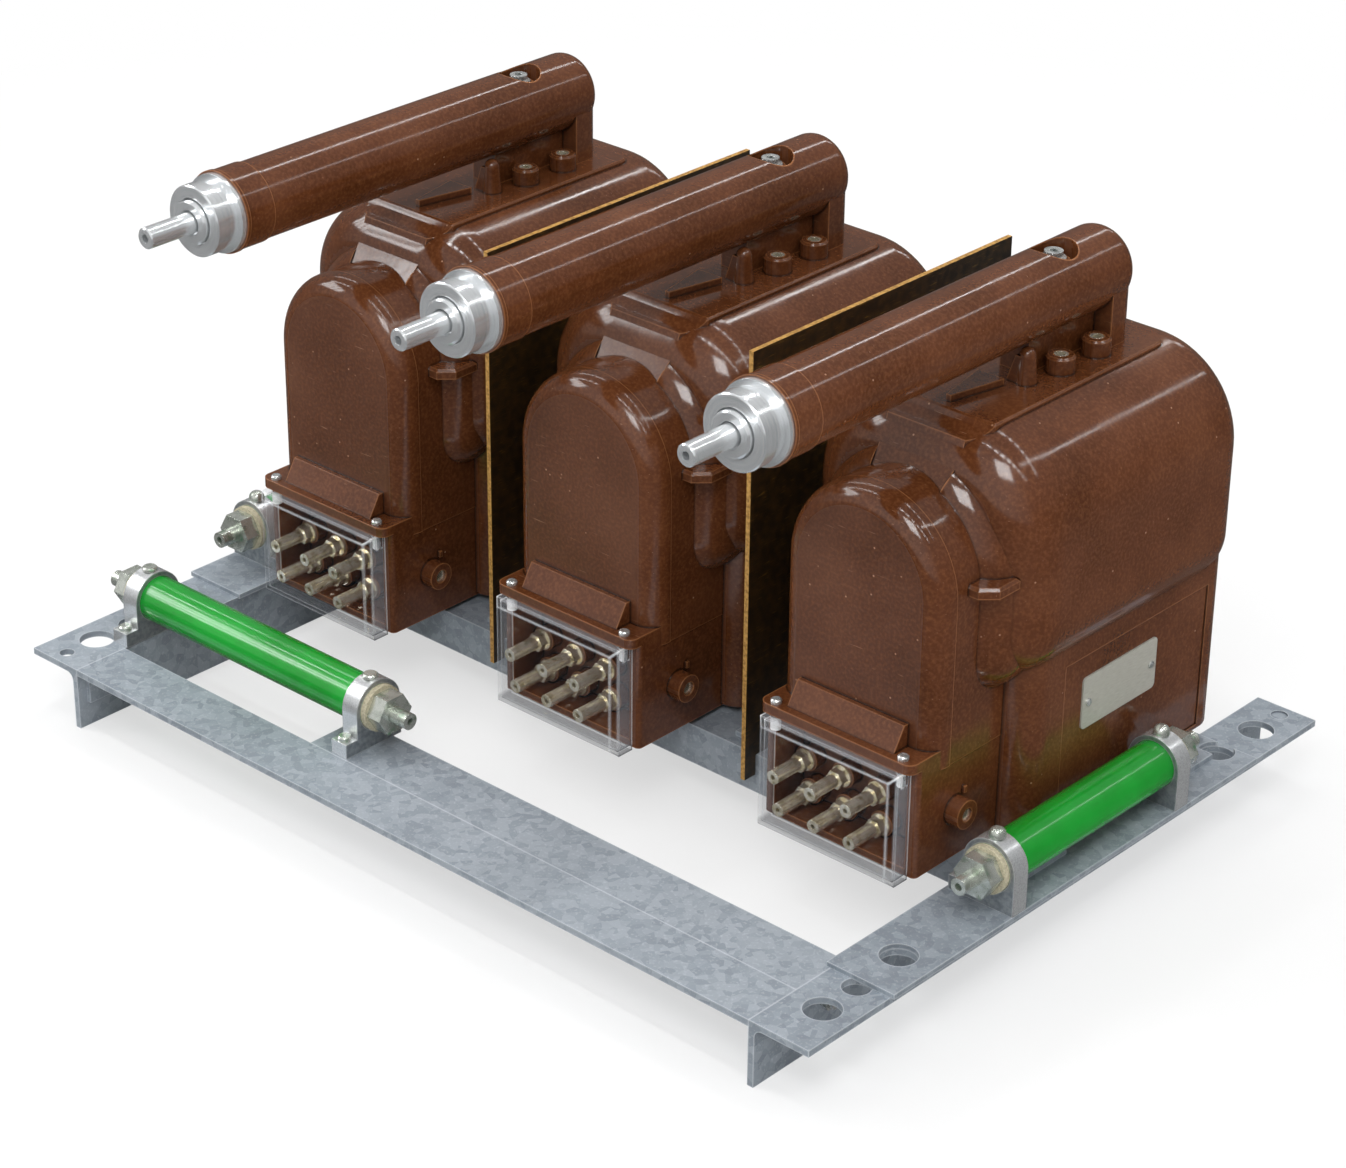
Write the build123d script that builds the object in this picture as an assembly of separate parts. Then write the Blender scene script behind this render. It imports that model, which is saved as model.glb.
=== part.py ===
from build123d import *
import os

# Three cast-resin voltage transformers in a row on a galvanised steel frame, with two insulating
# barrier plates and three tubular damping resistors. Millimetres, +Z up. X runs along the row, -Y is
# the side of the terminal boxes. The origin is the middle of the box that the frame's feet stand in.

# Frame: two side rails of angle steel, feet down
rail_width = 40.0
rail_depth = 40.0
rail_wall = 4.0
rail_root = 5.0
rail_length = 454.0
frame_side_clearance = 3.0
mount_hole_radius = 10.5
mount_hole_inset = 21.0
mount_end_inset = 33.0
side_hole_radius = 8.0
side_hole_behind = 27.0
small_hole_radius = 4.5
small_hole_end_inset = 10.0
dimple_radius = 5.0
dimple_depth = 1.0
dimple_end_inset = 9.0

# Flat steel bars laid on the side rails, and the two bars across the front
overlay_width = 45.0
overlay_thickness = 3.0
overlay_front_inset_right = 64.0
overlay_front_inset_left = 126.0
overlay_rear_inset = 64.0
overlay_hole_radius = 10.5
overlay_hole_front_inset = 30.0
overlay_hole_rear_inset = 9.0
front_strip_width = 37.0
rear_strip_width = 38.0
rear_strip_setback = 23.0

# Angle rails across the frame that carry the three units
support_wall = 4.0
support_front_y = 193.0
support_front_width = 40.0
support_rear_y = 340.5
support_rear_width = 30.0
support_drop = 21.0
support_reach = 25.0
support_leg_gap = 3.0
support_bolt_inset = 8.0

# Cast units
unit_pitch = 200.0
spacer_height = 3.0
spacer_radius = 9.0
block_half = 70.0
block_front = -83.0
block_rear = 100.0
block_height = 120.0
block_front_radius = 18.0
block_rear_radius = 14.0
block_foot_radius = 2.0
panel_depth = 0.8
panel_front = -50.0
panel_rear = 82.0
panel_low = 4.0
panel_high = 94.0
winding_half = 78.0
winding_front = -100.0
winding_rear = 96.0
winding_low = 95.0
winding_top = 236.0
winding_shoulder = 56.0
winding_skirt = 32.0
winding_front_round = 30.0
winding_rear_round = 19.0
disc_radius = 65.0
disc_height = 147.0
disc_proud = 10.0
disc_round = 8.0
plateau_half = 36.0
plateau_front = -80.0
plateau_rear = 72.0
plateau_top = 237.0
plateau_corner = 7.0
plateau_round = 1.0
brow_reach = 12.0
brow_drop = 8.0
brow_radius = 13.0
brow_half = 26.0
ridge_foot_y = -95.0
ridge_foot_drop = 18.0
ridge_end_y = -118.0
ridge_end_half = 21.5
ridge_end_drop = 46.0
neck_half = 66.0
neck_spring = 155.0
neck_low = 88.0
neck_front = -112.0
neck_low_radius = 27.0
neck_round = 25.0
tower_half = 54.0
tower_spring = 156.0
tower_front = -143.0
tower_round = 13.0
tower_step = 0.6
tower_step_behind = 15.0
notch_half = 68.0
notch_low = 158.0
notch_height = 6.0
notch_front = -119.0
notch_rear = -94.0
notch_corner = 8.0
notch_bevel = 1.5

# Terminal box, its ledge and the clear cover
box_half = 53.0
box_front = -153.0
box_height = 66.0
box_round = 3.0
ledge_height = 6.0
ledge_front = -160.0
ledge_rear = -134.0
ledge_corner = 6.0
rib_half = 37.0
rib_height = 13.5
rib_foot = 11.5
rib_head = 3.5
recess_half = 46.0
recess_low = 4.0
recess_high = 60.0
recess_depth = 25.0
terminal_boss_radius = 7.5
terminal_boss_length = 8.0
terminal_top_x = (-38.0, -12.0, 13.0)
terminal_top_z = 31.0
terminal_low_x = (-34.0, -9.0, 16.0)
terminal_low_z = 12.0
stud_radius = 3.0
stud_head_radius = 4.0
stud_tip = -164.0
stud_depth = 12.0
stud_bore_radius = 1.5
stud_bore_depth = 4.0
terminal_nut_flats = 10.0
terminal_nut_height = 6.0
terminal_washer_radius = 6.5
terminal_washer_height = 1.5
cover_half = 48.0
cover_reach = 15.0
cover_below = 2.0
cover_wall = 2.0
cover_bevel = 4.0
cover_screw_x = 44.0
cover_screw_setback = 4.5
cover_screw_radius = 1.9
cover_screw_head_radius = 3.2
cover_screw_head_height = 2.6
cover_post_radius = 3.0
cover_post_height = 10.0

# Bosses and bushes cast into each unit
side_boss_radius = 8.5
side_boss_face = 62.0
side_boss_y = -121.0
side_boss_z = 30.0
side_bush_radius = 4.0
side_bush_bore = 2.2
side_bush_depth = 10.0
side_bush_recess = 1.5
side_tab_proud = 2.0
side_tab_behind = 6.0
side_tab_thickness = 2.0
side_tab_above = 8.0
side_tab_height = 4.0
top_boss_radius = 8.2
top_boss_height = 10.0
top_boss_x = 19.0
top_boss_y = (-2.0, 30.0)
top_boss_bevel = 1.2
top_bush_radius = 4.0
top_bush_bore = 2.5
top_bush_depth = 12.0
peg_x = 15.0
peg_y = -26.5
peg_radius = 6.0
peg_tip_radius = 4.6
peg_height = 20.5
peg_web = 10.0
wedge_tip_y = -74.0
wedge_tip_half = 1.5
wedge_rear_y = -38.0
wedge_half = 9.0
wedge_height = 4.0
foot_bolt_x = 40.0
foot_bush_radius = 7.0
foot_bush_depth = 20.0
foot_bolt_radius = 4.0
foot_bolt_grip = 14.0
bolt_head_flats = 13.0
bolt_head_height = 5.3
foot_washer_radius = 8.0
foot_washer_height = 1.6

# Fuse housing on top of each unit
tube_gap = 17.2
tube_radius = 22.8
tube_front = -226.0
tube_rear = 60.0
tube_round = 9.0
collar_radius = 23.6
collar_length = 21.0
rim_radius = 24.2
rim_length = 2.5
fuse_radius = 13.5
fuse_rear = -6.0
pedestal_half = 21.0
pedestal_front = 40.0
wall_half = 9.5
wall_front = -18.0
lug_y = 12.0
pocket_radius = 13.0
pocket_floor = 8.0
lug_radius = 9.0
lug_tail = 22.0
lug_height = 5.5
lug_washer_radius = 7.0
lug_washer_height = 1.5
lug_bolt_head_radius = 5.2
lug_bolt_head_height = 3.6
lug_bolt_radius = 3.0
lug_bolt_depth = 8.0
lug_socket_flats = 4.0
lug_socket_depth = 2.0

# Contact fittings at the front of each fuse housing
hub_flange_radius = 23.0
hub_flange_length = 3.0
hub_neck_radius = 19.5
hub_neck_length = 7.0
hub_drum_radius = 20.8
hub_drum_length = 9.0
hub_edge = 0.8
hub_mouth_radius = 13.5
hub_mouth_depth = 4.0
ring_radius = 12.6
ring_proud = 3.0
ring_edge = 1.0
ring_mouth_radius = 7.4
ring_mouth_depth = 4.0
spindle_radius = 6.2
spindle_reach = 35.0
spindle_edge = 0.8
spindle_bore_radius = 2.5
spindle_bore_depth = 12.0

# Barrier plates and their angle cleats
barrier_thickness = 3.0
barrier_front = -117.0
barrier_rear = 108.0
barrier_low = -6.0
barrier_top = 259.0
barrier_slot_gap = 1.0
cleat_leg = 20.0
cleat_wall = 3.0
cleat_length = 24.0
cleat_screw_radius = 2.5
cleat_head_radius = 4.5
cleat_head_height = 2.8
cleat_nut_flats = 8.0
cleat_nut_height = 4.0

# Tubular resistors and their clamp brackets
resistor_radius = 14.0
resistor_bore = 8.0
bracket_thickness = 12.0
bracket_half = 17.0
bracket_axis = 24.0
bracket_fit = 0.2
foot_length = 9.0
foot_height = 9.0
bracket_screw_radius = 2.0
bracket_screw_head_radius = 4.0
bracket_screw_head_height = 2.8
blind_hole_cover = 2.0
dome_head_radius = 4.8
dome_head_height = 5.5
dome_head_round = 4.0
low_head_radius = 4.6
low_head_height = 2.5
head_bevel = 0.8
ceramic_thickness = 3.5
resistor_nut_flats = 22.0
resistor_nut_height = 10.5
resistor_nut_bevel = 1.4
resistor_stud_radius = 5.0
resistor_stud_proud = 12.0
resistor_stud_bore = 2.2
resistor_stud_bore_depth = 6.0
front_resistor_y = -236.0
front_resistor_span = 192.0
front_bracket_overlap = 5.0
side_bracket_gap = 19.0

# Rating plate place on the right-hand unit, left bare
plate_length = 68.0
plate_height = 32.0
plate_thickness = 1.0
plate_corner = 3.0
plate_y = 1.0
plate_z = 64.0
rivet_inset = 5.0
rivet_radius = 1.2
rivet_head_radius = 2.2
rivet_head_height = 1.0
rivet_depth = 4.0

hole_clearance = 0.3
screw_clearance = 0.1
nut_runout = 3.0

# Places worked out from the sizes above
row_x = (-unit_pitch, 0.0, unit_pitch)
row_names = ("left", "middle", "right")
mid_gap_x = (-unit_pitch / 2, unit_pitch / 2)
rail_front = -300.0
rail_rear = rail_front + rail_length
frame_inner_half = unit_pitch + side_boss_face + frame_side_clearance
rail_middle = frame_inner_half + rail_width / 2
mount_x = frame_inner_half + mount_hole_inset
mount_front_y = rail_front + mount_end_inset
mount_rear_y = rail_rear - mount_end_inset
overlay_rear = rail_rear - overlay_rear_inset
overlay_fronts = {-1: rail_front + overlay_front_inset_left, 1: rail_front + overlay_front_inset_right}
overlay_outer = rail_middle + overlay_width / 2
strip_seam = rail_front + front_strip_width
support_low = overlay_thickness
support_top = support_low + support_wall
support_front = rail_front + support_front_y
support_rear = rail_front + support_rear_y
support_lines = (support_front + support_front_width / 2, support_rear + support_rear_width / 2)
support_end = frame_inner_half + support_reach
base_z = support_top + spacer_height
box_top = base_z + box_height
ledge_top = box_top + ledge_height
plateau_z = base_z + plateau_top
tube_z = plateau_z + tube_gap + tube_radius
tube_top = tube_z + tube_radius
box_back_wall = box_front + recess_depth
hub_front = tube_front - hub_flange_length - hub_neck_length - hub_drum_length
cleat_screw_z = support_top + (cleat_leg + cleat_wall) / 2
side_axis_x = overlay_outer - bracket_half
side_bracket_front_y = support_front - side_bracket_gap - bracket_thickness / 2
side_bracket_rear_y = support_rear - side_bracket_gap - bracket_thickness / 2
front_bracket_left_x = -frame_inner_half - front_bracket_overlap
front_bracket_right_x = front_bracket_left_x + front_resistor_span
front_foot_y = front_resistor_y - bracket_half - foot_length / 2
overlay_hole_front_y = overlay_fronts[1] + overlay_hole_front_inset
overlay_hole_rear_y = overlay_rear - overlay_hole_rear_inset
stud_reach = ceramic_thickness + resistor_nut_height + resistor_stud_proud

# Every piece is drawn with z = 0 on top of the side rails and moved to the frame's own origin
own_origin = Pos(0, -(rail_front + rail_rear) / 2, rail_depth)


# Small helpers

def along_y(face, front, rear):
    """Prism of an X-Z face between two Y planes."""
    return extrude(Plane.XZ.offset(-rear) * face, amount=rear - front)


def along_x(face, left, right):
    """Prism of a Y-Z face between two X planes."""
    return extrude(Plane.YZ.offset(left) * face, amount=right - left)


def along_z(face, low, high):
    """Prism of an X-Y face between two Z planes."""
    return extrude(Plane.XY.offset(low) * face, amount=high - low)


def block(x0, x1, y0, y1, z0, z1):
    """Plain block between two corners."""
    corner = Pos((x0 + x1) / 2, (y0 + y1) / 2, (z0 + z1) / 2)
    return corner * Box(x1 - x0, y1 - y0, z1 - z0)


def rod_x(radius, left, right, y, z):
    return along_x(Pos(y, z) * Circle(radius), left, right)


def rod_y(radius, front, rear, x, z):
    return along_y(Pos(x, z) * Circle(radius), front, rear)


def rod_z(radius, low, high, x, y):
    return along_z(Pos(x, y) * Circle(radius), low, high)


def arch(half_width, foot, spring):
    """Face with straight sides from foot to spring and a half circle on top."""
    sides = Polyline((half_width, spring), (half_width, foot), (-half_width, foot), (-half_width, spring))
    crown = ThreePointArc((-half_width, spring), (0, spring + half_width), (half_width, spring))
    return make_face(sides.edges() + crown.edges())


def front_edges(solid):
    return solid.faces().sort_by(Axis.Y)[0].edges()


def rear_edges(solid):
    return solid.faces().sort_by(Axis.Y)[-1].edges()


def hexagon(flats):
    return RegularPolygon(radius=flats / 2, side_count=6, major_radius=False)


def bevelled_head(radius, low, height, x, y, bevel):
    """Round screw head with a bevelled rim, standing on z = low."""
    head = rod_z(radius, low, low + height, x, y)
    return chamfer(head.faces().sort_by(Axis.Z)[-1].edges(), bevel)


def angle_face(width, depth, wall, root):
    """Angle section: flange along +X under y = 0, leg down at x = 0, round root between them."""
    outline = Polyline((0, 0), (width, 0), (width, -wall), (wall, -wall), (wall, -depth), (0, -depth), close=True)
    face = make_face(outline)
    corner = face.vertices().sort_by_distance((wall, -wall))[0]
    return fillet(corner, root)


def export(name, pieces):
    """Write one node: a single solid, or a group of separate solids."""
    solids = pieces if isinstance(pieces, list) else [pieces]
    placed = [own_origin * one for one in solids]
    if len(placed) == 1:
        shape = placed[0]
    else:
        shape = Compound(children=[Compound(one.solids()) for one in placed])
    export_step(shape, f"parts/{name}.step")


# Cast unit, drawn at x = 0

def winding_bulge():
    """Round-shouldered upper body over the windings."""
    middle = base_z + (winding_low + winding_top) / 2
    face = Pos(0, middle) * Rectangle(2 * winding_half, winding_top - winding_low)
    face = fillet(face.vertices().group_by(Axis.Y)[-1], winding_shoulder)
    face = fillet(face.vertices().group_by(Axis.Y)[0], winding_skirt)
    solid = along_y(face, winding_front, winding_rear)
    solid = fillet(rear_edges(solid), winding_rear_round)
    return fillet(front_edges(solid), winding_front_round)


def lower_block():
    """Straight-sided lower body with a shallow panel on each side."""
    solid = block(-block_half, block_half, block_front, block_rear, base_z, base_z + block_height)
    upright = solid.edges().filter_by(Axis.Z)
    solid = fillet(upright.group_by(Axis.Y)[0], block_front_radius)
    upright = solid.edges().filter_by(Axis.Z)
    solid = fillet(upright.group_by(Axis.Y)[-1], block_rear_radius)
    solid = fillet(solid.faces().sort_by(Axis.Z)[0].edges(), block_foot_radius)
    for side in (-1, 1):
        floor = side * (block_half - panel_depth)
        face = side * (block_half + panel_depth)
        solid -= block(min(floor, face), max(floor, face), panel_front, panel_rear,
                       base_z + panel_low, base_z + panel_high)
    return solid


def rear_disc():
    """Round core end that stands proud of the back."""
    solid = rod_y(disc_radius, winding_rear - winding_rear_round, winding_rear + disc_proud, 0, base_z + disc_height)
    return fillet(rear_edges(solid), disc_round)


def plateau_plan():
    """Plateau seen from above, narrowing into the ridge."""
    right_side = [(plateau_half, plateau_rear), (plateau_half, plateau_front), (brow_half, plateau_front - brow_reach),
                  (brow_half, ridge_foot_y), (ridge_end_half, ridge_end_y)]
    left_side = [(-x, y) for x, y in reversed(right_side)]
    plan = make_face(Polyline(*right_side, *left_side, close=True))
    return fillet(plan.vertices().group_by(Axis.Y)[-1], plateau_corner)


def plateau():
    """Flat top pad that the fuse housing stands on; a rounded brow and a ridge fall from it to the tower."""
    low = base_z + tower_spring
    brow_end = (plateau_front - brow_reach, plateau_z - brow_drop)
    brow = RadiusArc((plateau_front, plateau_z), brow_end, brow_radius)
    rest = Polyline(brow_end, (ridge_foot_y, plateau_z - ridge_foot_drop), (ridge_end_y, plateau_z - ridge_end_drop),
                    (ridge_end_y, low), (plateau_rear, low), (plateau_rear, plateau_z), (plateau_front, plateau_z))
    fall = make_face(brow.edges() + rest.edges())
    pad = along_z(plateau_plan(), low, plateau_z) & along_x(fall, -plateau_half, plateau_half)
    return chamfer(pad.faces().sort_by(Axis.Z)[-1].edges(), plateau_round)


def above_plateau():
    """Space over the plateau and its ridge, which the neck must not fill."""
    return along_z(plateau_plan(), base_z + tower_spring, plateau_z)


def neck():
    """Arched step between the tower and the winding bulge, with a rounded lobe on each side."""
    face = arch(neck_half, base_z + neck_low, base_z + neck_spring)
    face = fillet(face.vertices().group_by(Axis.Y)[0], neck_low_radius)
    solid = along_y(face, neck_front, winding_front + winding_front_round)
    return fillet(front_edges(solid), neck_round) + notch_ledge()


def notch_ledge():
    """Short ledge that wraps each lobe of the neck, its corners cut back and its upper rim bevelled."""
    middle = (notch_front + notch_rear) / 2
    face = Pos(0, middle) * Rectangle(2 * notch_half, notch_rear - notch_front)
    face = chamfer(face.vertices().group_by(Axis.Y)[0], notch_corner)
    ledge = along_z(face, base_z + notch_low, base_z + notch_low + notch_height)
    return chamfer(ledge.faces().sort_by(Axis.Z)[-1].edges(), notch_bevel)


def tower():
    """Arched front tower above the terminal box; a fine step parts its rounded front from the rest."""
    foot = box_top - ledge_height
    spring = base_z + tower_spring
    step_y = tower_front + tower_step_behind
    front = along_y(arch(tower_half, foot, spring), tower_front, step_y)
    front = fillet(front_edges(front).sort_by(Axis.Z)[1:], tower_round)
    return front + along_y(arch(tower_half - tower_step, foot, spring), step_y, block_front + block_front_radius)


def terminal_places():
    """X and Z of the six terminals of one unit."""
    top = [(x, base_z + terminal_top_z) for x in terminal_top_x]
    low = [(x, base_z + terminal_low_z) for x in terminal_low_x]
    return top + low


def terminal_box():
    """Box for the low-voltage terminals: open front recess with six moulded bosses."""
    solid = block(-box_half, box_half, box_front, block_front + block_front_radius, base_z, box_top)
    upright = solid.edges().filter_by(Axis.Z).group_by(Axis.Y)[0]
    solid = fillet(upright, box_round)
    solid -= block(-recess_half, recess_half, box_front - 1, box_back_wall,
                   base_z + recess_low, base_z + recess_high)
    for x, z in terminal_places():
        solid += rod_y(terminal_boss_radius, box_back_wall - terminal_boss_length, box_back_wall, x, z)
    return solid


def cover_ledge():
    """Ledge over the cover, with round front corners and the wedge rib behind the screws."""
    face = Pos(0, (ledge_front + ledge_rear) / 2) * Rectangle(2 * box_half, ledge_rear - ledge_front)
    face = fillet(face.vertices().group_by(Axis.Y)[0], ledge_corner)
    ledge = along_z(face, box_top, ledge_top)
    rib = Polyline((tower_front + 1, ledge_top), (tower_front - rib_foot, ledge_top),
                   (tower_front - rib_head, ledge_top + rib_height), (tower_front + 1, ledge_top + rib_height),
                   close=True)
    return ledge + along_x(make_face(rib), -rib_half, rib_half)


def cover_screw_places():
    return [(side * cover_screw_x, ledge_front + cover_screw_setback) for side in (-1, 1)]


def top_boss(y):
    """Round boss beside the fuse housing, for a metal bush."""
    low = plateau_z - top_bush_depth
    return bevelled_head(top_boss_radius, low, top_bush_depth + top_boss_height, top_boss_x, y, top_boss_bevel)


def locating_peg():
    """Peg with a round tip in front of the bosses, and its web that slopes down under the tube."""
    low = plateau_z - top_bush_depth
    tip = plateau_z + peg_height
    dome_z = tip - peg_tip_radius
    side = Polyline((0, low), (peg_radius, low), (peg_radius, plateau_z), (peg_tip_radius, dome_z))
    dome = RadiusArc((peg_tip_radius, dome_z), (0, tip), -peg_tip_radius)
    face = make_face(side.edges() + dome.edges() + Line((0, tip), (0, low)).edges())
    web = make_face(Polyline((-peg_web, low), (0, low), (0, dome_z), (-peg_tip_radius, dome_z), (-peg_web, plateau_z),
                             close=True))
    solid = revolve(Plane.XZ * face, Axis.Z) + along_y(web, -peg_tip_radius, peg_tip_radius)
    return Pos(peg_x, peg_y, 0) * solid


def under_tube_wedge():
    """Low wedge on the plateau under the tube, its tip forward."""
    face = make_face(Polyline((-wedge_half, wedge_rear_y), (-wedge_tip_half, wedge_tip_y),
                              (wedge_tip_half, wedge_tip_y), (wedge_half, wedge_rear_y), close=True))
    return along_z(face, plateau_z - 1, plateau_z + wedge_height)


def side_boss():
    """Boss on the right of the terminal box, with a small tab above it."""
    z = base_z + side_boss_z
    boss = rod_x(side_boss_radius, box_half - 1, side_boss_face, side_boss_y, z)
    tab_y = side_boss_y + side_tab_behind
    tab_z = z + side_tab_above
    tab = block(box_half - 1, box_half + side_tab_proud, tab_y, tab_y + side_tab_thickness, tab_z,
                tab_z + side_tab_height)
    return boss + tab


def foot_places():
    return [(side * foot_bolt_x, y) for y in support_lines for side in (-1, 1)]


def plate_rivet_places():
    reach = plate_length / 2 - rivet_inset
    return [(plate_y + side * reach, base_z + plate_z) for side in (-1, 1)]


def cast_body(with_plate):
    """One unit's resin casting, with the sockets for its metal bushes and screws."""
    solid = lower_block() + winding_bulge() + rear_disc()
    solid += neck() - above_plateau()
    solid += plateau() + tower()
    solid += terminal_box() + cover_ledge()
    solid += locating_peg() + under_tube_wedge()
    solid += side_boss()
    for y in top_boss_y:
        solid += top_boss(y)
    for x, z in terminal_places():
        solid -= rod_y(stud_radius, box_front, box_back_wall + stud_depth, x, z)
    for x, y in cover_screw_places():
        solid -= rod_z(cover_screw_radius + screw_clearance, box_top - 1, ledge_top + 1, x, y)
    for y in top_boss_y:
        high = plateau_z + top_boss_height
        solid -= rod_z(top_bush_radius, high - top_bush_depth, high + 1, top_boss_x, y)
    solid -= rod_x(side_bush_radius, side_boss_face - side_bush_recess - side_bush_depth, side_boss_face + 1,
                   side_boss_y, base_z + side_boss_z)
    for x, y in foot_places():
        solid -= rod_z(foot_bush_radius, base_z - 1, base_z + foot_bush_depth, x, y)
    solid -= rod_z(lug_bolt_radius, plateau_z - lug_bolt_depth, plateau_z + 1, 0, lug_y)
    if with_plate:
        for y, z in plate_rivet_places():
            solid -= rod_x(rivet_radius, block_half - panel_depth - rivet_depth, block_half + 1, y, z)
    return solid


# Fuse housing and contact fittings, drawn at x = 0

def lug_levels():
    """Z of the pocket's floor, of the washer and of the screw's head."""
    washer = tube_top - pocket_floor
    return washer - lug_height, washer, washer + lug_washer_height


def fuse_housing():
    """Moulded tube for the fuse, with its pedestal, front collar and the lug pocket on top."""
    solid = rod_y(tube_radius, tube_front, tube_rear, 0, tube_z)
    solid = fillet(rear_edges(solid), tube_round)
    pedestal = block(-pedestal_half, pedestal_half, pedestal_front, tube_rear, plateau_z, tube_z)
    pedestal = fillet(pedestal.edges().filter_by(Axis.Z).group_by(Axis.Y)[-1], tube_round)
    solid += pedestal
    solid += block(-wall_half, wall_half, wall_front, pedestal_front + 1, plateau_z, tube_z)
    solid += rod_y(collar_radius, tube_front, tube_front + collar_length, 0, tube_z)
    solid += rod_y(rim_radius, tube_front, tube_front + rim_length, 0, tube_z)
    floor, washer = lug_levels()[:2]
    solid -= rod_z(pocket_radius, floor, tube_top + 1, 0, lug_y)
    ring = Pos(0, lug_y) * Circle(lug_radius)
    tail = make_face(Polyline((-lug_radius, lug_y), (0, lug_y - lug_tail), (lug_radius, lug_y), close=True))
    solid += along_z(ring + tail, floor, washer)
    solid -= rod_y(fuse_radius, tube_front - 1, fuse_rear, 0, tube_z)
    solid -= rod_z(lug_bolt_radius, plateau_z - 1, tube_top, 0, lug_y)
    return solid


def turned(profile_points):
    """Solid of revolution about the fuse axis from (radius, y) points."""
    face = make_face(Polyline(*profile_points, close=True))
    return Pos(0, 0, tube_z) * revolve(Plane.XY * face, Axis.Y)


def contact_hub():
    """Stepped aluminium hub: flange on the tube, neck, and a drum with an open mouth."""
    neck_end = tube_front - hub_flange_length
    drum_end = neck_end - hub_neck_length
    return turned([(ring_radius, tube_front), (hub_flange_radius, tube_front), (hub_flange_radius, neck_end),
                   (hub_neck_radius, neck_end), (hub_neck_radius, drum_end), (hub_drum_radius, drum_end),
                   (hub_drum_radius, hub_front + hub_edge), (hub_drum_radius - hub_edge, hub_front),
                   (hub_mouth_radius, hub_front), (hub_mouth_radius, hub_front + hub_mouth_depth),
                   (ring_radius, hub_front + hub_mouth_depth)])


def contact_ring():
    """Ring in the hub's mouth that holds the spindle."""
    front = hub_front - ring_proud
    return turned([(spindle_radius, tube_front), (ring_radius, tube_front), (ring_radius, front + ring_edge),
                   (ring_radius - ring_edge, front), (ring_mouth_radius, front),
                   (ring_mouth_radius, front + ring_mouth_depth), (spindle_radius, front + ring_mouth_depth)])


def contact_spindle():
    """Bright round pin with a tapped end."""
    tip = hub_front - spindle_reach
    return turned([(0, tube_front), (spindle_radius, tube_front), (spindle_radius, tip + spindle_edge),
                   (spindle_radius - spindle_edge, tip), (spindle_bore_radius, tip),
                   (spindle_bore_radius, tip + spindle_bore_depth), (0, tip + spindle_bore_depth)])


def fuse_cartridge():
    """Closed fuse tube inside the housing, ending in front of the lug."""
    return rod_y(fuse_radius, tube_front, fuse_rear, 0, tube_z)


def lug_washer():
    low, high = lug_levels()[1:]
    return rod_z(lug_washer_radius, low, high, 0, lug_y) - rod_z(lug_bolt_radius, low, high, 0, lug_y)


def lug_bolt():
    """Socket screw through the lug and the housing's pedestal into the casting."""
    low = lug_levels()[2]
    top = low + lug_bolt_head_height
    solid = rod_z(lug_bolt_head_radius, low, top, 0, lug_y)
    solid += rod_z(lug_bolt_radius, plateau_z - lug_bolt_depth, low, 0, lug_y)
    return solid - along_z(Pos(0, lug_y) * hexagon(lug_socket_flats), top - lug_socket_depth, top)


# Terminals and cover, drawn at x = 0

def terminal_stud(x, z):
    """Stud in a boss, with a thicker round end that has a small bore."""
    nut_front = stud_levels()[1]
    solid = rod_y(stud_radius, stud_tip, box_back_wall + stud_depth, x, z)
    solid += rod_y(stud_head_radius, stud_tip, nut_front, x, z)
    return solid - rod_y(stud_bore_radius, stud_tip, stud_tip + stud_bore_depth, x, z)


def stud_levels():
    boss = box_back_wall - terminal_boss_length
    washer_front = boss - terminal_washer_height
    return washer_front, washer_front - terminal_nut_height


def terminal_nut(x, z):
    washer_front, nut_front = stud_levels()
    face = hexagon(terminal_nut_flats) - Circle(stud_radius)
    return along_y(Pos(x, z) * face, nut_front, washer_front)


def terminal_washer(x, z):
    washer_front = stud_levels()[0]
    face = Circle(terminal_washer_radius) - Circle(stud_radius)
    return along_y(Pos(x, z) * face, washer_front, washer_front + terminal_washer_height)


def terminal_cover():
    """Clear cover: a thin box open at the back, bevelled at the front, hung under the ledge."""
    front = box_front - cover_reach
    low = base_z - cover_below
    outer = block(-cover_half, cover_half, front, box_front, low, box_top)
    outer = chamfer(front_edges(outer), cover_bevel)
    inner = block(-cover_half + cover_wall, cover_half - cover_wall, front + cover_wall, box_front + 1,
                  low + cover_wall, box_top - cover_wall)
    inner = chamfer(front_edges(inner), cover_bevel - cover_wall / 2)
    solid = outer - inner
    for x, y in cover_screw_places():
        solid += rod_z(cover_post_radius, box_top - cover_post_height, box_top - cover_wall, x, y) & outer
        solid -= rod_z(cover_screw_radius + screw_clearance, box_top - cover_post_height, box_top, x, y)
    return solid


def cover_screw(x, y):
    """Small pan-head screw through the ledge into the cover's post."""
    solid = rod_z(cover_screw_radius, box_top - cover_post_height, ledge_top, x, y)
    return solid + bevelled_head(cover_screw_head_radius, ledge_top, cover_screw_head_height, x, y, head_bevel)


# Metal bushes and bolts of one unit, drawn at x = 0

def top_bush(y):
    high = plateau_z + top_boss_height
    face = Pos(top_boss_x, y) * (Circle(top_bush_radius) - Circle(top_bush_bore))
    return along_z(face, high - top_bush_depth, high)


def side_bush():
    high = side_boss_face - side_bush_recess
    face = Pos(side_boss_y, base_z + side_boss_z) * (Circle(side_bush_radius) - Circle(side_bush_bore))
    return along_x(face, high - side_bush_depth, high)


def foot_bush(x, y):
    face = Pos(x, y) * (Circle(foot_bush_radius) - Circle(foot_bolt_radius))
    return along_z(face, base_z, base_z + foot_bush_depth)


def foot_spacer(x, y):
    face = Pos(x, y) * (Circle(spacer_radius) - Circle(foot_bolt_radius + hole_clearance))
    return along_z(face, support_top, base_z)


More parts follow.
